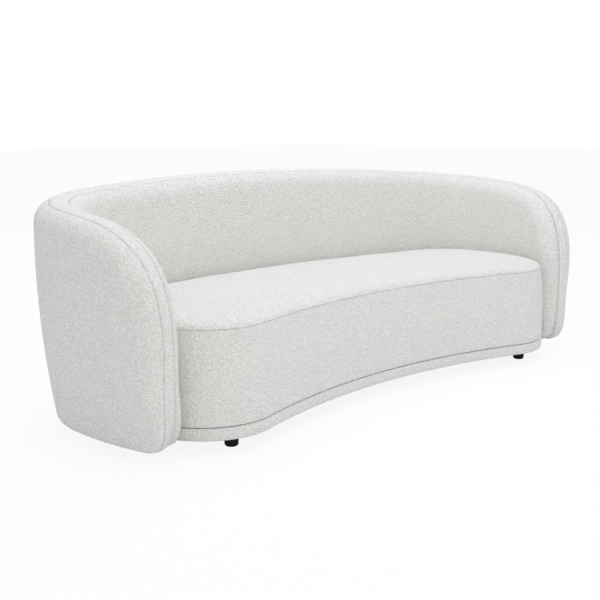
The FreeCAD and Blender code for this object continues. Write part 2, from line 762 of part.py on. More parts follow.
# Feet and fasteners: turned pieces, each from half of its outline in a constrained sketch
def measure(words):
    """Value of a sum of sizes, such as "foot_radius - foot_round" or "0.5*shell_thickness"."""
    total, sign = 0.0, 1
    for word in words.split():
        if word in "+-":
            sign = 1 if word == "+" else -1
        else:
            alias = word.split("*")[-1]
            share = float(word.split("*")[0]) if "*" in word else 1.0
            total += sign * share * size[alias]
    return total


def bound(words):
    """The same sum as a formula that reads the sheet."""
    parts = [word if word in "+-" else "Sizes.".join([word[:word.find("*") + 1],
                                                      word[word.find("*") + 1:]])
             for word in words.split()]
    return " ".join(parts) or "0"


def turned(name, outline, place, axis=Vector(0, 0, 1)):
    """A body turned about its own axis, from the (across, up) sums of its half outline."""
    body = doc.addObject("PartDesign::Body", name)
    sketch = body.newObject("Sketcher::SketchObject", f"{name}_outline")
    plane = next(item for item in body.Origin.OriginFeatures if item.Role == "XZ_Plane")
    sketch.AttachmentSupport = [(plane, "")]
    sketch.MapMode = "FlatFace"
    points = [Vector(measure(across), measure(up), 0) for across, up in outline]
    for start, stop in zip(points, points[1:] + points[:1]):
        sketch.addGeometry(Part.LineSegment(start, stop), False)
    for index in range(len(points)):
        following = (index + 1) % len(points)
        sketch.addConstraint(Sketcher.Constraint("Coincident", index, 2, following, 1))
    for index, (words, point) in enumerate(zip(outline, points)):
        for kind, terms, value in zip(("DistanceX", "DistanceY"), words, point):
            number = sketch.addConstraint(Sketcher.Constraint(kind, -1, 1, index, 1, value))
            sketch.setExpression(f"Constraints[{number}]", bound(terms))
    spin = body.newObject("PartDesign::Revolution", f"{name}_turn")
    spin.Profile = sketch
    spin.ReferenceAxis = (sketch, ["V_Axis"])
    spin.Angle = 360
    body.Placement = Placement(place, Rotation(Vector(0, 0, 1), axis))
    return body


STUD_END = "plinth_base + board + nut_plate + bolt_out"
CLOTH_LOW = "plinth_base - 2*fit_gap - dust_cloth"
FOOT = [
    ("", ""),
    ("foot_base_radius - foot_round", ""),
    ("foot_base_radius", "foot_round"),
    ("foot_radius", CLOTH_LOW),
    ("bolt_radius", CLOTH_LOW),
    ("bolt_radius", STUD_END),
    ("", STUD_END),
]
BOLT_END = ("0.5*shell_thickness + seat_clearance + rim_inset + rim_board - frame_inside"
            " + board + nut_plate + bolt_out")


def shell_bolt(name, place, axis):
    """Hexagon bolt: its head inside the seat box, its shank through the spacer to the nut plate."""
    head = add("Part::Prism", f"{name}_head", Circumradius="Sizes.bolt_head_radius",
               Height="Sizes.bolt_head",
               Placement__Base__z="-(Sizes.bolt_head + Sizes.fit_gap)")
    head.Polygon = 6
    shank = add("Part::Cylinder", f"{name}_shank", Radius="Sizes.bolt_radius",
                Height=bound(BOLT_END) + " + Sizes.fit_gap",
                Placement__Base__z="-Sizes.fit_gap")
    bolt = doc.addObject("Part::Fuse", name)
    bolt.Base, bolt.Tool = head, shank
    bolt.Placement = Placement(place, Rotation(Vector(0, 0, 1), axis))
    return bolt


# Feet with the studs that screw them into the threaded plates on the base board
group("feet", [turned(f"foot_{index}", FOOT, Vector(x, y, 0))
               for index, (x, y) in enumerate(foot_places, start=1)])
plate_top = base_top + size["nut_plate"]
compound("foot_plates", [
    plate.cut(hole) for plate, hole in zip(foot_plates(size["nut_side"], base_top, plate_top),
                                           drilled(bolt_hole, base_top - past, plate_top + past))])
group("shell_bolts", [shell_bolt(f"shell_bolt_{index}", wall.place(along, rim_inside, bolt_height),
                                 wall.frame(along)[1])
                      for index, along in enumerate(bolt_places, start=1)])
compound("shell_spacers",
         bolt_blocks(rim_outside, rail_inside - size["curve_play"], spacer, slot_opening))
compound("shell_nut_plates", bolt_blocks(rail_outside, rail_outside + size["nut_plate"],
                                         size["nut_side"], round_opening))

# Checks and files
doc.recompute()
failed = [item.Name for item in doc.Objects
          if "Invalid" in item.State or "Error" in item.State]
failed += [item.Label for item in nodes if item.Shape.isNull() or not item.Shape.isValid()]
if failed:
    raise RuntimeError("not built: " + ", ".join(failed))
os.makedirs("parts", exist_ok=True)
for item in nodes:
    item.Shape.exportStep(f"parts/{item.Label}.step")
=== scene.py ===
"""Curved sofa: ivory looped fabric over a padded C-shaped shell and a kidney-shaped seat block."""
import json
import math
import bmesh
import bpy
import numpy as np
from bpy.props import FloatProperty, FloatVectorProperty, PointerProperty
from mathutils import Matrix, Vector, noise


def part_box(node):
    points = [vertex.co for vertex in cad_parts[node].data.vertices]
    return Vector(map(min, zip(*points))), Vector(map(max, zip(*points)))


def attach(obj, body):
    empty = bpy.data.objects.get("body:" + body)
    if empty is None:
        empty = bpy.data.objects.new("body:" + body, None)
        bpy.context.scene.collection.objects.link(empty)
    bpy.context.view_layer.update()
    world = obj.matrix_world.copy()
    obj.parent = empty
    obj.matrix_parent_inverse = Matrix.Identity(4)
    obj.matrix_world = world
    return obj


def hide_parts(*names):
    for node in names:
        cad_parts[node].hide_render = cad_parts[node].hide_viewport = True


bl_info = {
    "name": "Curved Sofa",
    "version": (1, 0, 0),
    "blender": (4, 5, 0),
    "location": "View3D > Sidebar > Sofa",
    "description": "Dresses the frame of a curved sofa with padded panels, seams and finishes",
    "category": "Object",
}

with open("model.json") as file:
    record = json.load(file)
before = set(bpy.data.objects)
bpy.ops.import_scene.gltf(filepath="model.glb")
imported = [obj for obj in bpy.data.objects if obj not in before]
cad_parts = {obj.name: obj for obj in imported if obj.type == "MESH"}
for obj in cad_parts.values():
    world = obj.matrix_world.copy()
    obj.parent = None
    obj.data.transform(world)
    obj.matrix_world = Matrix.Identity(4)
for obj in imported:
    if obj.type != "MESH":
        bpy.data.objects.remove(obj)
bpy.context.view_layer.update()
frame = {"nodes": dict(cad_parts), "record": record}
ROOT = "root"

# Fineness of the meshes

CREST_STEPS = 300
BROW_STEPS = 400
PANEL_COLUMNS = 300
BAND_COLUMNS = 340
RING_STEPS = (40, 34, 20, 34, 40)
BRIDGE_ROWS = 14
CORE_ROWS = 9
NORMAL_SMOOTHINGS = 3
WELD = 0.00001

# Rows of the shell's covers

PANEL_ROWS = (0.035, 0.09, 0.17, 0.28, 0.42, 0.58, 0.76, 1.0)
BAND_ROWS = (-0.02, 0.0, 0.035, 0.1, 0.22, 0.36, 0.5, 0.64, 0.78, 0.9, 0.965, 1.0, 1.02)
STEEPEST = 0.97
HEM_BORDER = 0.78
HEM_TOLERANCE = 0.0005
BAND_SWELL = 0.0015
PANEL_PUCKER_FADE = 4
BAND_PUCKER_FADE = 6

# Rows of the seat's covers: (inset, rise) from the lean and the seam, or from the groove

TOP_TURN = ((0.010, 0.0001), (0.0018, 0.0002), (0.0004, 0.0012), (0.0002, 0.0035))
TOP_EDGE_ROWS = (0.02, 0.06, 0.12, 0.2, 0.3, 0.42, 0.56, 0.72, 0.9)
TOP_FLAT_ROWS = (0.02, 0.045, 0.075, 0.105)
TOP_REACH = 0.36
TOP_SQUARENESS = 2.4
CROWN_START = 0.2
TOP_UNEVEN_FROM = 0.004
BORDER_HEM = ((0.014, 0.002), (0.0065, 0.0), (0.0035, 0.0012), (0.0012, 0.004),
              (0.0003, 0.009), (0.0, 0.015))
BORDER_SEAM = ((-0.00048, -0.004), (0.0002, -0.0010), (0.0018, -0.0002), (0.008, -0.0003))
BORDER_ROWS = 14
BORDER_FIRST = 0.08
LEAN_START = 0.35
LEAN_POWER = 1.8
BORDER_PADDING = 0.010
PLINTH_PADDING = 0.005
PLINTH_TURN = 0.013
PLINTH_LIP = 0.001
PLINTH_SWELL = 0.0008
PLINTH_ROWS = (0.35, 0.5, 0.65)
PLINTH_BEND_STEPS = 5

# Waves of hand-laid padding: size, height and seed of each

SEED_STEP = Vector((17.3, 5.1, 9.7))
WAVES = ((0.16, 0.0011, 1), (0.05, 0.0004, 2))
PANEL_UNEVEN = 0.7
TOP_UNEVEN = 1.6
BORDER_UNEVEN = 0.7
PLINTH_UNEVEN = 0.4
PUCKER_SEED = 3

# Foam

SEAT_FOAM_INSET = 0.0315
SEAT_FOAM_ROUND = 0.006
ROUND_MIDDLE = 0.3
BACK_FOAM_REACH = 1.275
BACK_FOAM_COLUMNS = 121
BACK_FOAM_ROUND = 0.004
BACK_FOAM_OUTER = 0.0185
BACK_FOAM_DROP = 0.034
BACK_FOAM_CLEAR = 0.001

# Stage

FLOOR_HALF = 30
FLOOR_GLOW = 0.9
WORLD_STRENGTH = 0.72
LAMPS = (("key", (-1.2, -3.2, 3.6), (0, 0, 0.3), 3.4, 25, (1.0, 0.985, 0.96)),
         ("top", (0.3, 0.2, 3.8), (0.1, 0, 0.3), 3.2, 48, (0.93, 0.96, 1.0)))
CAMERA_PLACE = (-2.654, -2.600, 0.999)
CAMERA_YAW = 0.772
CAMERA_PITCH = -0.184
CAMERA_LENS = 57.14
CAMERA_SENSOR = 36


# Properties

def length(name, description, default):
    return FloatProperty(name=name, description=description, default=default,
                         min=0.0, unit="LENGTH")


def colour(name, description, default):
    return FloatVectorProperty(name=name, description=description, default=default,
                               subtype="COLOR", size=3, min=0.0, max=1.0)


class ShellSizes(bpy.types.PropertyGroup):
    """Sizes of the padded shell that forms the back and the arms."""
    height: length("Height", "Floor to the crest at the middle of the back", 0.804)
    thickness: length("Thickness", "Padded wall, outside to inside", 0.156)
    clearance: length("Clearance", "Floor to the underside of the shell", 0.040)
    rear: length("Rear", "Middle of the footprint to the outside of the back", 0.479)
    back_radius: length("Back radius", "Outside of the back in plan", 3.768)
    corner_centre: length("Corner centre", "Sideways place of the rear corner's centre", 0.761)
    corner_radius: length("Corner radius", "Outside of the rear corner in plan", 0.448)
    corner_sweep: FloatProperty(name="Corner sweep", subtype="ANGLE",
                                description="From straight back to the end of the corner",
                                default=math.radians(89))
    side_radius: length("Side radius", "Outside of the arm in plan", 1.154)
    arm_reach: length("Arm reach", "Centre of the arm's curve to its tip, along Y", 0.394)
    crest_drop: length("Crest drop", "Fall of the crest from the middle to the brow", 0.068)
    brow: length("Brow", "Length of the arm's falling front curve", 0.395)
    toe: length("Toe", "Length of the arm's lower front curve", 0.092)
    nose: length("Nose", "Height where the arm reaches furthest forward", 0.261)
    squareness: FloatProperty(name="Squareness", default=3.2, min=1.5, max=8,
                              description="Exponent of the arm's front curves")
    edge_radius: length("Edge radius", "Roundness of the crest", 0.064)
    hem_radius: length("Hem radius", "Roundness of the lower edge", 0.016)
    belly_radius: length("Belly radius", "Vertical curve of the outside", 3.255)
    belly_height: length("Belly height", "Height where the outside stands out most", 0.592)
    crown: length("Crown", "Swell of the inside panel", 0.007)
    seam_in_back: length("Inner seam, back", "Middle of the wall to the inner seam", 0.045)
    seam_in_arm: length("Inner seam, arm", "Middle of the wall to the inner seam", 0.017)
    seam_out_back: length("Outer seam, back", "Middle of the wall to the outer seam", 0.030)
    seam_out_arm: length("Outer seam, arm", "Middle of the wall to the outer seam", 0.025)
    cover: length("Cover", "Fabric with the padding bonded behind it", 0.012)
    seam_depth: length("Seam depth", "How far the fabric turns in at a seam", 0.009)
    seam_lip: length("Seam lip", "Depth of the crease at a seam", 0.0022)
    seam_slide: length("Seam slide", "Height over which the seams slide under the toe", 0.12)
    core_reach: length("Core reach", "Arm's tip to the end of the panels' flat middle", 0.45)
    seam_gap: length("Seam gap", "Half the gap between two sewn panels", 0.0003)
    pucker: length("Pucker", "How deep the stitches draw the fabric in beside a seam", 0.0011)
    pucker_size: length("Pucker size", "From one pucker to the next along a seam", 0.021)


class SeatSizes(bpy.types.PropertyGroup):
    """Sizes of the seat block."""
    height: length("Height", "Floor to the edge of the seat's top", 0.420)
    crown: length("Crown", "Swell of the seat's top", 0.009)
    front_radius: length("Front radius", "Hollow front in plan", 2.316)
    lobe_radius: length("Lobe radius", "Round ends of the front in plan", 0.234)
    lobe_centre: length("Lobe centre", "Sideways place of a lobe's centre", 0.780)
    clearance: length("Clearance", "Seat to the shell's inside", 0.0045)
    seam: length("Seam", "Height of the seam round the top", 0.389)
    edge: length("Edge", "How far in the top's edge is rounded", 0.075)
    lean: length("Lean", "How far the front leans in at the seam", 0.016)
    groove: length("Groove", "Height of the groove above the plinth", 0.088)
    groove_width: length("Groove width", "Height of the groove itself", 0.0014)
    plinth: length("Plinth", "Floor to the underside of the plinth", 0.046)
    plinth_round: length("Plinth round", "Rounded edges of the plinth", 0.007)


class SofaColours(bpy.types.PropertyGroup):
    """Colours of the fabric, the painted shade in the fabric's hollows, the frame and the feet."""
    loop: colour("Loop", "Raised loops of the fabric", (0.97, 0.965, 0.95))
    # Painted shade: this hollow colour darkens the fabric in the hollows between its loops.
    hollow_shade: colour("Hollow shade", "Hollows between the loops", (0.77, 0.755, 0.73))
    wood: colour("Wood", "Plywood and softwood of the frame", (0.66, 0.49, 0.30))
    wood_dark: colour("Wood grain", "Darker grain of the frame", (0.47, 0.31, 0.17))
    foam: colour("Foam", "Upholstery foam", (0.86, 0.80, 0.58))
    foot: colour("Foot", "Feet", (0.012, 0.012, 0.013))
    floor: colour("Floor", "Studio floor", (0.92, 0.92, 0.92))


# Curves of the shell and the seat, with arrays

class Shell:
    """The wall's middle line in plan, and its outline along that line."""

    def __init__(self, s):
        self.s = s
        self.half = s.thickness / 2
        back = (0.0, s.rear - s.back_radius)
        reach = math.sqrt((s.back_radius - s.corner_radius) ** 2 - s.corner_centre ** 2)
        corner = (s.corner_centre, back[1] + reach)
        start = math.atan2(s.corner_centre, reach)
        turn = s.corner_sweep
        pull = s.corner_radius - s.side_radius
        side = (corner[0] + math.sin(turn) * pull, corner[1] + math.cos(turn) * pull)
        end = math.acos(-s.arm_reach / s.side_radius)
        self.side = side
        self.arcs = [(back, s.back_radius - self.half, 0.0, start),
                     (corner, s.corner_radius - self.half, start, turn),
                     (side, s.side_radius - self.half, turn, end)]
        self.tip = sum(radius * (b - a) for _, radius, a, b in self.arcs)
        self.back_length = self.arcs[0][1] * start

    def frame(self, along):
        """Points on the middle line and outward directions, for signed distances along it."""
        along = np.asarray(along, float)
        sign = np.where(along < 0, -1.0, 1.0)
        left = np.abs(along)
        x, y = np.zeros_like(left), np.zeros_like(left)
        nx, ny = np.zeros_like(left), np.zeros_like(left)
        begun = 0.0
        for centre, radius, a, b in self.arcs:
            inside = left >= begun
            angle = a + (left - begun) / radius
            x = np.where(inside, centre[0] + radius * np.sin(angle), x)
            y = np.where(inside, centre[1] + radius * np.cos(angle), y)
            nx, ny = np.where(inside, np.sin(angle), nx), np.where(inside, np.cos(angle), ny)
            begun += radius * (b - a)
        return sign * x, y, sign * nx, ny

    def place(self, along, offset, height):
        x, y, nx, ny = self.frame(along)
        return np.stack([x + nx * offset, y + ny * offset, height], axis=-1)

    def share(self, along):
        """0 along the back, then evenly to 1 at the arm's tip."""
        return np.clip((np.abs(along) - self.back_length) / (self.tip - self.back_length), 0, 1)

    def seam_in(self, along):
        s = self.s
        return s.seam_in_back + (s.seam_in_arm - s.seam_in_back) * self.share(along)

    def seam_out(self, along):
        s = self.s
        return s.seam_out_back + (s.seam_out_arm - s.seam_out_back) * self.share(along)

    def crest(self, along):
        """Height of the crest where the arm's brow has not begun."""
        s = self.s
        return s.height - s.crest_drop * (along / (self.tip - s.brow)) ** 2

    def outline(self, count):
        """Half of the wall's edge, (along, height): crest to nose, then nose to hem."""
        s = self.s
        start = self.tip - s.brow
        theta = np.linspace(0, math.pi / 2, BROW_STEPS)
        along = np.concatenate([np.linspace(0, start, CREST_STEPS)[:-1],
                                start + s.brow * np.sin(theta) ** (2 / s.squareness)])
        past = np.maximum(along - start, 0)
        drop = s.crest_drop * (np.minimum(along, start) / start) ** 2
        brow_top = s.height - drop - 2 * s.crest_drop / start * past
        top = even_steps(np.column_stack([
            along, s.nose + (brow_top - s.nose) * self.rounding(past / s.brow)]), count)
        toe = np.maximum(top[:, 0] - (self.tip - s.toe), 0) / s.toe
        low = s.nose - (s.nose - s.clearance) * self.rounding(toe)
        return top, np.column_stack([top[:, 0], low])[::-1]

    def rounding(self, share):
        power = self.s.squareness
        return (1 - np.clip(share, 0, 1) ** power) ** (1 / power)

    def belly(self, height):
        s = self.s
        return s.belly_radius - np.sqrt(s.belly_radius ** 2 - (height - s.belly_height) ** 2)


def even_steps(points, count):
    """The same line, resampled in equal steps."""
    run = np.concatenate([[0], np.cumsum(np.hypot(*np.diff(points, axis=0).T))])
    share = np.linspace(0, 1, count)
    wanted = run[-1] * share
    return np.column_stack([np.interp(wanted, run, points[:, k]) for k in (0, 1)])


class Seat:
    """The kidney outline of the seat, as eight tangent arcs that can be drawn in."""

    def __init__(self, s, shell):
        self.s = s
        wall = shell.s
        inner = wall.thickness + s.clearance + wall.crown
        front_y = -wall.rear
        lobe = np.array([s.lobe_centre, front_y + s.lobe_radius])
        reach = math.sqrt((s.front_radius + s.lobe_radius) ** 2 - s.lobe_centre ** 2)
        front = np.array([0, lobe[1] - reach])
        widest = shell.side[0] + wall.side_radius - inner
        across, back = widest - lobe[0], shell.side[1] - lobe[1]
        side_radius = (across ** 2 + back ** 2 - s.lobe_radius ** 2) / (2 * (across - s.lobe_radius))
        side = np.array([widest - side_radius, shell.side[1]])
        rear_radius, corner_radius = wall.back_radius - inner, wall.corner_radius - inner
        rear = np.array(shell.arcs[0][0])
        corner = self.meeting(rear, rear_radius - corner_radius, side, side_radius - corner_radius)
        self.arcs = [(front, s.front_radius, lobe - front, 1),
                     (lobe, s.lobe_radius, lobe - side, -1),
                     (side, side_radius, corner - side, -1),
                     (corner, corner_radius, corner - rear, -1),
                     (rear, rear_radius, np.array([0.0, 1.0]), -1)]
        self.start = np.array([0.0, 1.0])

    @staticmethod
    def meeting(a, reach_a, b, reach_b):
        """The point that lies at two given distances from two centres."""
        line = b - a
        distance = np.hypot(*line)
        along = (reach_a ** 2 - reach_b ** 2 + distance ** 2) / (2 * distance)
        aside = math.sqrt(reach_a ** 2 - along ** 2)
        unit = line / distance
        return a + unit * along + np.array([unit[1], -unit[0]]) * aside

    def half_ring(self, inset):
        """The right half, from the middle of the front to the middle of the back."""
        points = []
        entry = self.start
        for (centre, radius, leave, side), count in zip(self.arcs, RING_STEPS):
            size = radius + side * inset
            a = math.atan2(entry[1], entry[0])
            b = math.atan2(leave[1], leave[0])
            turn = (b - a + math.pi) % (2 * math.pi) - math.pi
            angles = a + turn * np.arange(count) / count
            points.append(centre + size * np.column_stack([np.cos(angles), np.sin(angles)]))
            entry = -leave if side > 0 else leave
        last = self.arcs[-1]
        points.append(np.array([[0.0, last[0][1] + last[1] - inset]]))
        return np.concatenate(points)

    def ring(self, inset):
        right = self.half_ring(inset)
        left = right[1:-1][::-1] * [-1, 1]
        return np.concatenate([right, left])


# Meshes

def smooth_noise(points, size, seed):
    """Gentle unevenness, from -1 to 1, that is the same on every run."""
    shift = seed * SEED_STEP
    return np.array([noise.noise(Vector(p) / size + shift) for p in points])


def make_piece(name, points, faces, material, node_name):
    """A soft piece that stands for one node of the frame."""
    mesh = bpy.data.meshes.new(name)
    mesh.from_pydata([tuple(p) for p in points], [], faces)
    weld = bmesh.new()
    weld.from_mesh(mesh)
    bmesh.ops.remove_doubles(weld, verts=weld.verts, dist=WELD)
    weld.to_mesh(mesh)
    weld.free()
    mesh.validate()
    mesh.shade_smooth()
    piece = bpy.data.objects.new(name, mesh)
    bpy.context.scene.collection.objects.link(piece)
    mesh.materials.append(material)
    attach(piece, ROOT)
    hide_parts(node_name)
    return piece


def thicken(piece, thickness):
    """Gives a cover its padding, inwards."""
    solid = piece.modifiers.new("padding", "SOLIDIFY")
    solid.thickness = thickness
    solid.offset = -1
    solid.use_even_offset = False
    with bpy.context.temp_override(object=piece, active_object=piece, selected_objects=[piece]):
        bpy.ops.object.modifier_apply(modifier=solid.name)


def ease(share):
    """From 0 to 1 with a gentle start and end."""
    return share * share * (3 - 2 * share)


def grid_faces(rows, columns, closed=False, first=0, flip=False):
    """Quads between rows of points that lie one after the other."""
    faces = []
    last = columns if closed else columns - 1
    for row in range(rows - 1):
        for column in range(last):
            after = (column + 1) % columns
            a, b = first + row * columns + column, first + row * columns + after
            c, d = b + columns, a + columns
            faces.append((a, d, c, b) if flip else (a, b, c, d))
    return faces


def inward_normals(loop):
    """Unit normals of a closed line in a plane, towards its inside."""
    tangent = np.roll(loop, -1, axis=0) - np.roll(loop, 1, axis=0)
    tangent /= np.maximum(np.hypot(*tangent.T), 1e-12)[:, None]
    normal = np.column_stack([tangent[:, 1], -tangent[:, 0]])
    for _ in range(NORMAL_SMOOTHINGS):
        normal = (np.roll(normal, 1, axis=0) + 2 * normal + np.roll(normal, -1, axis=0)) / 4
    return normal / np.hypot(*normal.T)[:, None]


def wall_loop(shell, count):
    """The whole edge of the wall as one loop, clockwise from the middle of the crest."""
    top, low = shell.outline(count)
    right = np.concatenate([top[:-1], low])
    left = right[1:-1][::-1] * [-1, 1]
    return np.concatenate([right, left])


def edge_roundness(shell, loop):
    """Radius of the wall's edge, and how far in its rounded border is drawn."""
    s = shell.s
    rise = ease(np.clip((loop[:, 1] - s.clearance) / (s.nose - s.clearance), 0, 1))
    radius = s.hem_radius + (s.edge_radius - s.hem_radius) * rise
    return radius, s.edge_radius * (HEM_BORDER + (1 - HEM_BORDER) * rise)


def depth_at(offset, wide, radius):
    """How far in from the edge its rounding passes a distance from the wall's middle."""
    beyond = np.clip((offset - (wide - radius)) / radius, 0.0, STEEPEST)
    return radius * (1 - np.sqrt(1 - beyond ** 2))


def half_width(shell, height, side):
    """Middle of the wall to its face, before the edge's rounding."""
    if side > 0:
        return shell.half - shell.belly(height)
    s = shell.s
    middle = (s.height + s.clearance) / 2
    reach = (s.height - s.clearance) / 2 - s.edge_radius
    return shell.half + s.crown * np.clip(1 - ((height - middle) / reach) ** 2, 0, 1)


def seam_line(shell, loop, radius, side):
    """Middle of the wall to the seam, which slides under the wall at its hem."""
    s = shell.s
    regular = shell.seam_out(loop[:, 0]) if side > 0 else shell.seam_in(loop[:, 0])
    under = np.minimum(regular, half_width(shell, loop[:, 1], side) - radius)
    rise = ease(np.clip((loop[:, 1] - s.clearance) / s.seam_slide, 0, 1))
    return under + (regular - under) * rise


def panel(shell, side):
    """Points and faces of the outside (side 1) or inside (side -1) panel."""
    s = shell.s
    loop = wall_loop(shell, PANEL_COLUMNS)
    normal = inward_normals(loop)
    radius, border = edge_roundness(shell, loop)
    seam = seam_line(shell, loop, radius, side)
    dip = seam_pucker(s, loop)

    def on_surface(depth, drawn_in):
        flat = loop + normal * depth[:, None]
        wide = half_width(shell, flat[:, 1], side)
        share = np.clip(1 - depth / radius, 0, 1)
        offset = wide - radius + radius * np.sqrt(1 - share ** 2)
        return flat + normal * (dip * drawn_in)[:, None], offset

    wide = half_width(shell, loop[:, 1], side)
    at_seam = depth_at(seam, wide, radius)
    rows = [(loop + normal * (at_seam + s.seam_depth)[:, None], seam + s.seam_gap),
            (loop + normal * (at_seam + s.seam_lip)[:, None], seam + s.seam_gap)]
    for share in PANEL_ROWS:
        drawn_in = max(1 - PANEL_PUCKER_FADE * share, 0)
        rows.append(on_surface(at_seam + (border - at_seam) * share, drawn_in))
    inner = rows[-1][0]
    reach = shell.tip - s.core_reach
    core = np.column_stack([np.clip(loop[:, 0], -reach, reach),
                            np.full(len(loop), (s.height + s.clearance) / 2)])
    for share in np.linspace(0, 1, CORE_ROWS + 1)[1:]:
        flat = inner + (core - inner) * share
        rows.append((flat, half_width(shell, flat[:, 1], side)))
    points = [shell.place(flat[:, 0], side * offset, flat[:, 1]) for flat, offset in rows]
    return np.concatenate(points), grid_faces(len(rows), len(loop), closed=True, flip=side < 0)


def uneven(points, height):
    """Slight waves of hand-laid padding."""
    return height * sum(smooth_noise(points, size, seed) * rise for size, rise, seed in WAVES)


def seam_pucker(s, loop):
    """How deep the stitches draw the fabric in, at each point along a seam."""
    flat = np.column_stack([loop, np.zeros(len(loop))])
    return s.pucker * (0.5 + 0.5 * smooth_noise(flat, s.pucker_size, PUCKER_SEED))


class SOFA_OT_shell_panels(bpy.types.Operator):
    """Padded inside and outside panels of the shell"""
    bl_idname = "sofa.shell_panels"
    bl_label = "Shell panels"

    def execute(self, context):
        shell = Shell(context.scene.sofa_shell)
        fabric = boucle(context)
        for name, side in (("outside_panel", 1), ("inside_panel", -1)):
            points, faces = panel(shell, side)
            points[:, 1] += side * uneven(points, PANEL_UNEVEN)
            piece = make_piece(name, points, faces, fabric, f"shell_{name}")
            thicken(piece, shell.s.cover)
        return {"FINISHED"}


class SOFA_OT_edge_band(bpy.types.Operator):
    """Edge band between the two seams, over the crest and down the arms' fronts"""
    bl_idname = "sofa.edge_band"
    bl_label = "Edge band"

    def execute(self, context):
        shell = Shell(context.scene.sofa_shell)
        s = shell.s
        loop = wall_loop(shell, BAND_COLUMNS)
        normal = inward_normals(loop)
        radius = edge_roundness(shell, loop)[0]
        half = len(loop) // 2
        low = loop[:, 1] < s.clearance + HEM_TOLERANCE
        on_hem = low & (np.abs(loop[:, 0]) < shell.tip - s.toe)
        keep = [index for index in range(-half, half) if not on_hem[index]]
        line, inward, radius = loop[keep], normal[keep], radius[keep]
        dip = seam_pucker(s, line)
        out = seam_line(shell, line, radius, 1)
        into = seam_line(shell, line, radius, -1)
        rows = []
        for share in BAND_ROWS:
            across = min(max(share, 0.0), 1.0)
            offset = out - (out + into) * across
            wide = np.where(offset > 0, half_width(shell, line[:, 1], 1),
                            half_width(shell, line[:, 1], -1))
            depth = depth_at(np.abs(offset), wide, radius)
            drawn_in = max(1 - BAND_PUCKER_FADE * max(min(share, 1 - share), 0), 0)
            depth += dip * drawn_in - BAND_SWELL * math.sin(math.pi * across)
            trim = 0.0
            if share in (0.0, 1.0):
                depth += s.seam_lip
            if share != across:
                depth += s.seam_depth
            if share <= 0:
                trim = s.seam_gap
            elif share >= 1:
                trim = -s.seam_gap
            flat = line + inward * depth[:, None]
            rows.append(shell.place(flat[:, 0], offset - trim, flat[:, 1]))
        faces = grid_faces(len(rows), len(line), flip=True)
        piece = make_piece("edge_band", np.concatenate(rows), faces, boucle(context),
                           "shell_edge_band")
        thicken(piece, s.cover)
        return {"FINISHED"}


def seat_height_at(s, depth):
    """Height of the seat's top at a distance from its outline."""
    inside = depth - s.lean
    round_share = np.clip(inside / s.edge, 0, 1)
    rounded = (s.height - s.seam) * np.sqrt(1 - (1 - round_share) ** TOP_SQUARENESS)
    start = CROWN_START * s.edge
    crown_share = np.clip((inside - start) / (TOP_REACH - start), 0, 1)
    return s.seam + rounded + s.crown * (1 - (1 - crown_share) ** 2)


def seat_rings(seat, levels):
    """Rings of the seat's outline at (height, inset) levels."""
    rings = []
    for height, inset in levels:
        ring = seat.ring(inset)
        rings.append(np.column_stack([ring, np.full(len(ring), height)]))
    return rings


def closed_block(seat, rings, top_height, under_height):
    """Points and faces of a block: its rings with a surface over each end."""
    total = len(rings[0])
    faces = grid_faces(len(rings), total, closed=True)
    used = len(rings) * total
    top, top_faces = bridge(seat, rings[-1], used - total, used, top_height, True)
    used += len(top)
    under, under_faces = bridge(seat, rings[0], 0, used, under_height, False)
    return np.concatenate(rings + [top, under]), faces + top_faces + under_faces


class SOFA_OT_seat_top(bpy.types.Operator):
    """Crowned seat top, closed underneath, with its sewn edge"""
    bl_idname = "sofa.seat_top"
    bl_label = "Seat top"

    def execute(self, context):
        shell = Shell(context.scene.sofa_shell)
        seat = Seat(context.scene.sofa_seat, shell)
        s = seat.s
        levels = [(s.seam + rise, s.lean + inset) for inset, rise in TOP_TURN]
        depths = [s.lean + s.edge * share for share in TOP_EDGE_ROWS]
        depths += [s.lean + s.edge + further for further in TOP_FLAT_ROWS]
        levels += [(seat_height_at(s, depth), depth) for depth in depths]
        under = s.seam + TOP_TURN[0][1]
        cloud, faces = closed_block(seat, seat_rings(seat, levels),
                                    lambda depth: seat_height_at(s, depth),
                                    lambda depth: np.full(len(depth), under))
        cloud[:, 2] += uneven(cloud, TOP_UNEVEN) * (cloud[:, 2] > s.seam + TOP_UNEVEN_FROM)
        make_piece("seat_top", cloud, faces, boucle(context), "seat_top_panel")
        return {"FINISHED"}


def bridge(seat, ring, ring_first, new_first, height_of, upward):
    """Closes a ring of the seat with rows that run from its front half to its back half."""
    outline = seat.ring(0.0)[::2]
    total = len(ring)
    half = total // 2
    quarter = half // 2
    front = [(quarter - step) % total for step in range(half + 1)]
    back = [(quarter + step) % total for step in range(half + 1)]
    points, faces = [], []
    previous = [ring_first + index for index in front]
    for row in range(1, BRIDGE_ROWS):
        share = row / BRIDGE_ROWS
        line = ring[front][1:-1, :2] * (1 - share) + ring[back][1:-1, :2] * share
        gaps = line[:, None, :] - outline[None]
        depth = np.sqrt((gaps ** 2).sum(2)).min(1)
        first = new_first + len(points) * (half - 1)
        points.append(np.column_stack([line, height_of(depth)]))
        current = [ring_first + front[0], *range(first, first + half - 1), ring_first + front[-1]]
        faces += strip(previous, current, upward)
        previous = current
    faces += strip(previous, [ring_first + index for index in back], upward)
    return np.concatenate(points), faces


def strip(near, far, upward):
    """Quads between two rows of indices, or triangles where the rows meet."""
    faces = []
    for column in range(len(near) - 1):
        quad = [near[column], near[column + 1], far[column + 1], far[column]]
        quad = [q for k, q in enumerate(quad) if q not in quad[:k]]
        if len(quad) > 2:
            faces.append(tuple(quad[::-1] if upward else quad))
    return faces


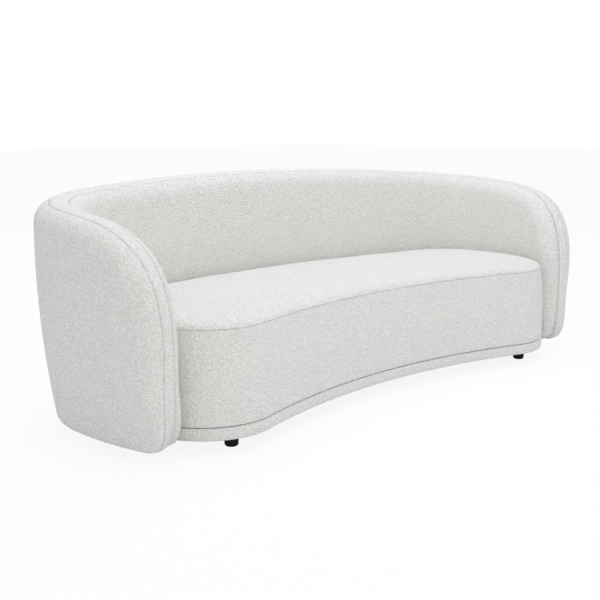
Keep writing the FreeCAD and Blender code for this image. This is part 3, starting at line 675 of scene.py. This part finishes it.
def seat_sleeve(name, seat, levels, cover, fabric, node_name, waviness):
    """A padded strip round the seat, through (height, inset) levels."""
    rings = seat_rings(seat, levels)
    faces = grid_faces(len(rings), len(rings[0]), closed=True)
    cloud = np.concatenate(rings)
    centre = cloud * [1, 1, 0]
    away = centre / np.linalg.norm(centre, axis=1)[:, None]
    cloud += away * uneven(cloud, waviness)[:, None]
    piece = make_piece(name, cloud, faces, fabric, node_name)
    thicken(piece, cover)


class SOFA_OT_seat_border(bpy.types.Operator):
    """Padded border round the seat block, sewn to the top and tucked in at the groove"""
    bl_idname = "sofa.seat_border"
    bl_label = "Seat border"

    def execute(self, context):
        shell = Shell(context.scene.sofa_shell)
        seat = Seat(context.scene.sofa_seat, shell)
        s = seat.s
        low = s.groove + s.groove_width / 2
        levels = [(low + rise, inset) for inset, rise in BORDER_HEM]
        bottom = levels[-1][0]
        for share in np.linspace(BORDER_FIRST, 1.0, BORDER_ROWS)[:-1]:
            lean_share = max(share - LEAN_START, 0) / (1 - LEAN_START)
            levels.append((bottom + (s.seam - bottom) * share, s.lean * lean_share ** LEAN_POWER))
        levels += [(s.seam + rise, s.lean + inset) for inset, rise in BORDER_SEAM]
        seat_sleeve("seat_border_cover", seat, levels, BORDER_PADDING, boucle(context),
                    "seat_border", BORDER_UNEVEN)
        return {"FINISHED"}


class SOFA_OT_plinth(bpy.types.Operator):
    """Narrow padded plinth under the groove"""
    bl_idname = "sofa.plinth"
    bl_label = "Plinth"

    def execute(self, context):
        shell = Shell(context.scene.sofa_shell)
        seat = Seat(context.scene.sofa_seat, shell)
        s = seat.s
        low, high = s.plinth, s.groove - s.groove_width / 2
        r = s.plinth_round
        angles = np.linspace(0, math.pi / 2, PLINTH_BEND_STEPS)
        bend = [(1 - math.cos(angle), 1 - math.sin(angle)) for angle in angles]
        levels = [(low + PLINTH_LIP, PLINTH_TURN)]
        levels += [(low + r * up, r * inset) for up, inset in bend]
        levels += [(low + (high - low) * share, -PLINTH_SWELL * math.sin(math.pi * share))
                   for share in PLINTH_ROWS]
        levels += [(high - r * up, r * inset) for up, inset in bend[::-1]]
        levels += [(high - PLINTH_LIP, PLINTH_TURN)]
        seat_sleeve("plinth", seat, levels, PLINTH_PADDING, boucle(context),
                    "plinth_border", PLINTH_UNEVEN)
        return {"FINISHED"}


class SOFA_OT_foam(bpy.types.Operator):
    """Foam blocks inside the seat and the back"""
    bl_idname = "sofa.foam"
    bl_label = "Foam"

    def execute(self, context):
        shell = Shell(context.scene.sofa_shell)
        seat = Seat(context.scene.sofa_seat, shell)
        foam = foam_finish(context)
        self.seat_block(seat, foam)
        self.back_slab(shell, foam)
        return {"FINISHED"}

    def seat_block(self, seat, foam):
        low, high = (corner.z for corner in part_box("seat_foam"))
        r, inset = SEAT_FOAM_ROUND, SEAT_FOAM_INSET
        near = r * ROUND_MIDDLE
        levels = [(low, inset + r), (low + near, inset + near), (low + r, inset),
                  (high - r, inset), (high - near, inset + near), (high, inset + r)]
        cloud, faces = closed_block(seat, seat_rings(seat, levels),
                                    lambda depth: np.full(len(depth), high),
                                    lambda depth: np.full(len(depth), low))
        make_piece("seat_foam_block", cloud, faces, foam, "seat_foam")

    def back_slab(self, shell, foam):
        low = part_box("back_foam")[0].z + BACK_FOAM_CLEAR
        along = np.linspace(-BACK_FOAM_REACH, BACK_FOAM_REACH, BACK_FOAM_COLUMNS)
        inner = -shell.seam_in(along) + BACK_FOAM_CLEAR
        outer = np.full_like(along, -BACK_FOAM_OUTER)
        top = shell.crest(along) - BACK_FOAM_DROP
        r = BACK_FOAM_ROUND
        corners = [(inner + r, low), (outer - r, low), (outer, low + r), (outer, top - r),
                   (outer - r, top), (inner + r, top), (inner, top - r), (inner, low + r)]
        rows = [shell.place(along, offset, height + along * 0) for offset, height in corners]
        count = len(along)
        faces = grid_faces(len(rows) + 1, count, flip=True)
        total = len(rows) * count
        faces = [tuple(index % total for index in face) for face in faces]
        faces.append(tuple(range(0, total, count)))
        faces.append(tuple(range(total - 1, 0, -count)))
        make_piece("back_foam_slab", np.concatenate(rows), faces, foam, "back_foam")


# Finishes

def group_tree(name, inputs, outputs):
    """An empty node group with named inputs and outputs, made once."""
    tree = bpy.data.node_groups.get(name)
    if tree:
        return tree, True
    tree = bpy.data.node_groups.new(name, "ShaderNodeTree")
    for label, kind, value in inputs:
        socket = tree.interface.new_socket(name=label, in_out="INPUT", socket_type=kind)
        socket.default_value = value
    for label, kind in outputs:
        tree.interface.new_socket(name=label, in_out="OUTPUT", socket_type=kind)
    return tree, False


def add_node(tree, kind, **values):
    node = tree.nodes.new(kind)
    for key, value in values.items():
        setattr(node, key, value)
    return node


def ends(tree):
    """A group's input and output nodes, and the object's own coordinates."""
    place = tree.nodes.new("ShaderNodeTexCoord").outputs["Object"]
    return tree.nodes.new("NodeGroupInput"), tree.nodes.new("NodeGroupOutput"), place


def cloud_noise(tree, place, detail, scale=1.0, roughness=0.5):
    node = tree.nodes.new("ShaderNodeTexNoise")
    node.inputs["Scale"].default_value = scale
    node.inputs["Detail"].default_value = detail
    node.inputs["Roughness"].default_value = roughness
    tree.links.new(place, node.inputs["Vector"])
    return node


def remap(tree, value, given=(0.0, 1.0), wanted=(0.0, 1.0)):
    """A value moved from one range to another."""
    node = tree.nodes.new("ShaderNodeMapRange")
    for label, limit in zip(("From Min", "From Max", "To Min", "To Max"), (*given, *wanted)):
        node.inputs[label].default_value = limit
    tree.links.new(value, node.inputs["Value"])
    return node.outputs["Result"]


def scale_and_add(tree, value, factor, addend):
    """A value times a number, plus a number or another value."""
    node = add_node(tree, "ShaderNodeMath", operation="MULTIPLY_ADD")
    node.inputs[1].default_value = factor
    tree.links.new(value, node.inputs[0])
    if isinstance(addend, float):
        node.inputs[2].default_value = addend
    else:
        tree.links.new(addend, node.inputs[2])
    return node.outputs[0]


def mixed_colour(tree, share, first, second):
    """A colour between two others, by the Mix node's colour sockets."""
    node = add_node(tree, "ShaderNodeMix", data_type="RGBA")
    factor, a, b = (node.inputs[index] for index in (0, 6, 7))
    tree.links.new(share, factor)
    tree.links.new(first, a)
    tree.links.new(second, b)
    return node.outputs[2]


def loop_pile():
    """Node group: small uneven loops, their colour, height and roughness; the colour has painted
    shade, darker in the hollows between the loops.
    """
    tree, ready = group_tree(
        "loop_pile",
        [("Loops per metre", "NodeSocketFloat", 230.0),
         ("Loop colour", "NodeSocketColor", (0.8, 0.8, 0.8, 1)),
         ("Ground colour", "NodeSocketColor", (0.5, 0.5, 0.5, 1))],
        [("Colour", "NodeSocketColor"), ("Height", "NodeSocketFloat"),
         ("Roughness", "NodeSocketFloat")])
    if ready:
        return tree
    link = tree.links.new
    given, out, place = ends(tree)
    bend = cloud_noise(tree, place, detail=2, scale=90)
    shift = add_node(tree, "ShaderNodeVectorMath", operation="MULTIPLY_ADD")
    shift.inputs[1].default_value = (0.008, 0.008, 0.008)
    link(bend.outputs["Color"], shift.inputs[0])
    link(place, shift.inputs[2])
    cells = add_node(tree, "ShaderNodeTexVoronoi", feature="SMOOTH_F1")
    cells.inputs["Smoothness"].default_value = 0.25
    link(shift.outputs[0], cells.inputs["Vector"])
    link(given.outputs["Loops per metre"], cells.inputs["Scale"])
    clumps = cloud_noise(tree, place, detail=4, scale=120, roughness=0.65)
    patches = cloud_noise(tree, place, detail=3, scale=9)
    dome = remap(tree, cells.outputs["Distance"], given=(0.05, 0.8), wanted=(1.0, 0.0))
    height = scale_and_add(tree, clumps.outputs["Fac"], 0.9, dome)
    drift = scale_and_add(tree, patches.outputs["Fac"], 0.16, -0.08)
    shade = add_node(tree, "ShaderNodeMath", operation="ADD", use_clamp=True)
    link(remap(tree, height, given=(0.45, 1.05)), shade.inputs[0])
    link(drift, shade.inputs[1])
    # Painted shade: the colour runs from the hollow colour where the loops are low to the loop
    # colour on their tops, and slow patches shift its tone at random.
    colour_now = mixed_colour(tree, shade.outputs[0], given.outputs["Ground colour"],
                              given.outputs["Loop colour"])
    link(colour_now, out.inputs["Colour"])
    link(height, out.inputs["Height"])
    link(remap(tree, shade.outputs[0], wanted=(0.98, 0.86)), out.inputs["Roughness"])
    return tree


def wood_grain():
    """Node group: wood grain along the piece, with its colour and height."""
    tree, ready = group_tree(
        "wood_grain",
        [("Light", "NodeSocketColor", (0.6, 0.5, 0.3, 1)),
         ("Dark", "NodeSocketColor", (0.4, 0.3, 0.2, 1)),
         ("Lines per metre", "NodeSocketFloat", 60.0)],
        [("Colour", "NodeSocketColor"), ("Height", "NodeSocketFloat")])
    if ready:
        return tree
    link = tree.links.new
    given, out, place = ends(tree)
    stretch = add_node(tree, "ShaderNodeVectorMath", operation="MULTIPLY")
    stretch.inputs[1].default_value = (0.12, 1, 1)
    link(place, stretch.inputs[0])
    lines = cloud_noise(tree, stretch.outputs[0], detail=6)
    link(given.outputs["Lines per metre"], lines.inputs["Scale"])
    spread = remap(tree, lines.outputs["Fac"], given=(0.35, 0.65))
    link(mixed_colour(tree, spread, given.outputs["Dark"], given.outputs["Light"]),
         out.inputs["Colour"])
    link(spread, out.inputs["Height"])
    return tree


def threads():
    """Node group: crossing threads, for webbing and dust cloth."""
    tree, ready = group_tree(
        "threads",
        [("Colour", "NodeSocketColor", (0.1, 0.1, 0.1, 1)),
         ("Threads per metre", "NodeSocketFloat", 400.0)],
        [("Colour", "NodeSocketColor"), ("Height", "NodeSocketFloat")])
    if ready:
        return tree
    link = tree.links.new
    given, out, place = ends(tree)
    cross = add_node(tree, "ShaderNodeMath", operation="MAXIMUM")
    for direction, socket in zip("XY", cross.inputs):
        wave = add_node(tree, "ShaderNodeTexWave", bands_direction=direction)
        wave.inputs["Distortion"].default_value = 0.6
        link(place, wave.inputs["Vector"])
        link(given.outputs["Threads per metre"], wave.inputs["Scale"])
        link(wave.outputs["Fac"], socket)
    shade = add_node(tree, "ShaderNodeVectorMath", operation="MULTIPLY")
    link(given.outputs["Colour"], shade.inputs[0])
    link(remap(tree, cross.outputs[0], wanted=(0.55, 1.0)), shade.inputs[1])
    link(shade.outputs[0], out.inputs["Colour"])
    link(cross.outputs[0], out.inputs["Height"])
    return tree


def finish_with(name, tree, values, bump, distance, **constants):
    """A material whose colour and relief come from a node group."""
    name = f"{name}_finish"
    material = bpy.data.materials.get(name)
    if material:
        return material
    material = bpy.data.materials.new(name)
    material.use_nodes = True
    nodes, links = material.node_tree.nodes, material.node_tree.links
    surface = nodes["Principled BSDF"]
    effect = nodes.new("ShaderNodeGroup")
    effect.node_tree = tree
    for label, value in values.items():
        effect.inputs[label].default_value = value
    links.new(effect.outputs["Colour"], surface.inputs["Base Color"])
    if "Roughness" in effect.outputs:
        links.new(effect.outputs["Roughness"], surface.inputs["Roughness"])
    relief = nodes.new("ShaderNodeBump")
    relief.inputs["Strength"].default_value = bump
    relief.inputs["Distance"].default_value = distance
    links.new(effect.outputs["Height"], relief.inputs["Height"])
    links.new(relief.outputs["Normal"], surface.inputs["Normal"])
    for label, value in constants.items():
        surface.inputs[label.replace("_", " ")].default_value = value
    return material


def rgba(values):
    return (*values, 1.0)


def boucle(context):
    c = context.scene.sofa_colours
    # The hollow colour passed here is painted shade between the loops.
    return finish_with("boucle", loop_pile(),
                       {"Loops per metre": 220.0, "Loop colour": rgba(c.loop),
                        "Ground colour": rgba(c.hollow_shade)},
                       bump=0.8, distance=0.004, Sheen_Weight=0.2, Sheen_Roughness=0.6,
                       Specular_IOR_Level=0.2)


def foam_finish(context):
    c = context.scene.sofa_colours
    # Painted shade: a darker copy of the foam colour fills the hollows between its cells.
    shaded_hollow = [value * 0.82 for value in c.foam]
    return finish_with("foam", loop_pile(),
                       {"Loops per metre": 900.0, "Loop colour": rgba(c.foam),
                        "Ground colour": rgba(shaded_hollow)},
                       bump=0.3, distance=0.001, Specular_IOR_Level=0.2)


def wood_finish(context):
    c = context.scene.sofa_colours
    return finish_with("bare_wood", wood_grain(),
                       {"Light": rgba(c.wood), "Dark": rgba(c.wood_dark),
                        "Lines per metre": 70.0},
                       bump=0.15, distance=0.0006, Roughness=0.7)


def hardboard_finish(context):
    return finish_with("hardboard", wood_grain(),
                       {"Light": (0.24, 0.14, 0.08, 1), "Dark": (0.17, 0.10, 0.055, 1),
                        "Lines per metre": 400.0},
                       bump=0.1, distance=0.0004, Roughness=0.75)


def felt_finish(context):
    # Painted shade: the felt's hollow colour is a darker copy of its loop colour, laid in the
    # hollows.
    return finish_with("felt", loop_pile(),
                       {"Loops per metre": 500.0, "Loop colour": (0.36, 0.34, 0.32, 1),
                        "Ground colour": (0.26, 0.25, 0.23, 1)},
                       bump=0.4, distance=0.001)


def webbing_finish(context):
    return finish_with("webbing", threads(),
                       {"Colour": (0.05, 0.05, 0.055, 1), "Threads per metre": 300.0},
                       bump=0.4, distance=0.0008, Roughness=0.8)


def cloth_finish(context):
    return finish_with("dust_cloth", threads(),
                       {"Colour": (0.012, 0.012, 0.012, 1), "Threads per metre": 500.0},
                       bump=0.3, distance=0.0004, Roughness=0.95)


def foot_finish(context):
    c = context.scene.sofa_colours
    # Painted shade: a darker copy of the foot colour fills the tiny hollows of the moulding.
    shaded_hollow = [value * 0.8 for value in c.foot]
    return finish_with("black_moulding", loop_pile(),
                       {"Loops per metre": 1500.0, "Loop colour": rgba(c.foot),
                        "Ground colour": rgba(shaded_hollow)},
                       bump=0.08, distance=0.0002)


def steel_finish(context):
    return finish_with("zinc_steel", wood_grain(),
                       {"Light": (0.55, 0.55, 0.54, 1), "Dark": (0.45, 0.45, 0.44, 1),
                        "Lines per metre": 800.0},
                       bump=0.05, distance=0.0002, Roughness=0.42, Metallic=1.0)


class SOFA_OT_frame_finishes(bpy.types.Operator):
    """Finishes of the frame, webbing, cloth, feet and fasteners"""
    bl_idname = "sofa.frame_finishes"
    bl_label = "Frame finishes"

    def execute(self, context):
        finishes = {"frame_wood": wood_finish, "hardboard": hardboard_finish,
                    "felt": felt_finish, "webbing": webbing_finish,
                    "black_cloth": cloth_finish, "foot_black": foot_finish,
                    "zinc_steel": steel_finish, "foam": foam_finish, "boucle": boucle}
        for entry in frame["record"]["subparts"]:
            node = frame["nodes"][entry["node"]]
            material = finishes[entry["material_slot"]](context)
            if not node.material_slots:
                node.data.materials.append(material)
            for slot in node.material_slots:
                slot.material = material
        return {"FINISHED"}


class SOFA_OT_stage(bpy.types.Operator):
    """Pale studio floor, soft lamps and the camera"""
    bl_idname = "sofa.stage"
    bl_label = "Stage"

    def execute(self, context):
        self.floor(context)
        self.world(context)
        for values in LAMPS:
            self.lamp(context, *values)
        self.camera(context)
        context.scene.view_settings.view_transform = "Standard"
        return {"FINISHED"}

    def floor(self, context):
        mesh = bpy.data.meshes.new("studio_floor")
        half = FLOOR_HALF
        mesh.from_pydata([(-half, -half, 0), (half, -half, 0), (half, half, 0), (-half, half, 0)],
                         [], [(0, 1, 2, 3)])
        floor = bpy.data.objects.new("studio_floor", mesh)
        context.scene.collection.objects.link(floor)
        material = bpy.data.materials.new("studio_floor")
        material.use_nodes = True
        nodes, links = material.node_tree.nodes, material.node_tree.links
        surface = nodes["Principled BSDF"]
        surface.inputs["Base Color"].default_value = rgba(context.scene.sofa_colours.floor)
        surface.inputs["Roughness"].default_value = 0.9
        surface.inputs["Specular IOR Level"].default_value = 0.0
        glow = nodes.new("ShaderNodeEmission")
        path = nodes.new("ShaderNodeLightPath")
        amount = add_node(material.node_tree, "ShaderNodeMath", operation="MULTIPLY")
        amount.inputs[1].default_value = FLOOR_GLOW
        mix = nodes.new("ShaderNodeMixShader")
        links.new(path.outputs["Is Camera Ray"], amount.inputs[0])
        links.new(amount.outputs[0], mix.inputs[0])
        links.new(surface.outputs[0], mix.inputs[1])
        links.new(glow.outputs[0], mix.inputs[2])
        links.new(mix.outputs[0], nodes["Material Output"].inputs["Surface"])
        mesh.materials.append(material)

    def world(self, context):
        world = bpy.data.worlds.new("studio")
        context.scene.world = world
        world.use_nodes = True
        nodes, links = world.node_tree.nodes, world.node_tree.links
        light = nodes["Background"]
        light.inputs["Color"].default_value = rgba((1, 1, 1))
        light.inputs["Strength"].default_value = WORLD_STRENGTH
        seen = nodes.new("ShaderNodeBackground")
        seen.inputs["Color"].default_value = rgba((1, 1, 1))
        path = nodes.new("ShaderNodeLightPath")
        rays = path.outputs["Is Camera Ray"]
        for other in ("Is Glossy Ray", "Is Transmission Ray"):
            both = add_node(world.node_tree, "ShaderNodeMath", operation="MAXIMUM")
            links.new(rays, both.inputs[0])
            links.new(path.outputs[other], both.inputs[1])
            rays = both.outputs[0]
        mix = nodes.new("ShaderNodeMixShader")
        links.new(rays, mix.inputs[0])
        links.new(light.outputs[0], mix.inputs[1])
        links.new(seen.outputs[0], mix.inputs[2])
        links.new(mix.outputs[0], nodes["World Output"].inputs["Surface"])

    def lamp(self, context, name, place, target, size, watts, tint):
        data = bpy.data.lights.new(name, "AREA")
        data.shape = "DISK"
        data.size = size
        data.energy = watts
        data.color = tint
        lamp = bpy.data.objects.new(name, data)
        context.scene.collection.objects.link(lamp)
        lamp.location = place
        lamp.rotation_euler = (Vector(target) - Vector(place)).to_track_quat("-Z", "Y").to_euler()

    def camera(self, context):
        data = bpy.data.cameras.new("view")
        data.sensor_width = CAMERA_SENSOR
        data.lens = CAMERA_LENS
        camera = bpy.data.objects.new("view", data)
        context.scene.collection.objects.link(camera)
        level = math.cos(CAMERA_PITCH)
        ahead = Vector((math.sin(CAMERA_YAW) * level, math.cos(CAMERA_YAW) * level,
                        math.sin(CAMERA_PITCH)))
        right = Vector((math.cos(CAMERA_YAW), -math.sin(CAMERA_YAW), 0))
        turn = Matrix((right, right.cross(ahead), -ahead)).transposed()
        camera.matrix_world = Matrix.Translation(CAMERA_PLACE) @ turn.to_4x4()
        context.scene.camera = camera


class SOFA_PT_panel(bpy.types.Panel):
    """The sofa's sizes, colours and pieces"""
    bl_idname = "SOFA_PT_panel"
    bl_label = "Curved sofa"
    bl_space_type = "VIEW_3D"
    bl_region_type = "UI"
    bl_category = "Sofa"

    def draw(self, context):
        for title, group in (("Shell", context.scene.sofa_shell), ("Seat", context.scene.sofa_seat),
                             ("Colours", context.scene.sofa_colours)):
            box = self.layout.box()
            box.label(text=title)
            for name in group.__annotations__:
                box.prop(group, name)
        for operator in OPERATORS:
            self.layout.operator(operator.bl_idname)


OPERATORS = (SOFA_OT_frame_finishes, SOFA_OT_shell_panels, SOFA_OT_edge_band, SOFA_OT_seat_top,
             SOFA_OT_seat_border, SOFA_OT_plinth, SOFA_OT_foam, SOFA_OT_stage)
CLASSES = (ShellSizes, SeatSizes, SofaColours, *OPERATORS, SOFA_PT_panel)


def register():
    for item in CLASSES:
        bpy.utils.register_class(item)
    bpy.types.Scene.sofa_shell = PointerProperty(type=ShellSizes)
    bpy.types.Scene.sofa_seat = PointerProperty(type=SeatSizes)
    bpy.types.Scene.sofa_colours = PointerProperty(type=SofaColours)


def unregister():
    del bpy.types.Scene.sofa_colours
    del bpy.types.Scene.sofa_seat
    del bpy.types.Scene.sofa_shell
    for item in reversed(CLASSES):
        bpy.utils.unregister_class(item)


def main():
    register()
    bpy.ops.sofa.frame_finishes()
    bpy.ops.sofa.shell_panels()
    bpy.ops.sofa.edge_band()
    bpy.ops.sofa.seat_top()
    bpy.ops.sofa.seat_border()
    bpy.ops.sofa.plinth()
    bpy.ops.sofa.foam()
    bpy.ops.sofa.stage()
    bpy.context.view_layer.update()


if __name__ == "__main__":
    main()
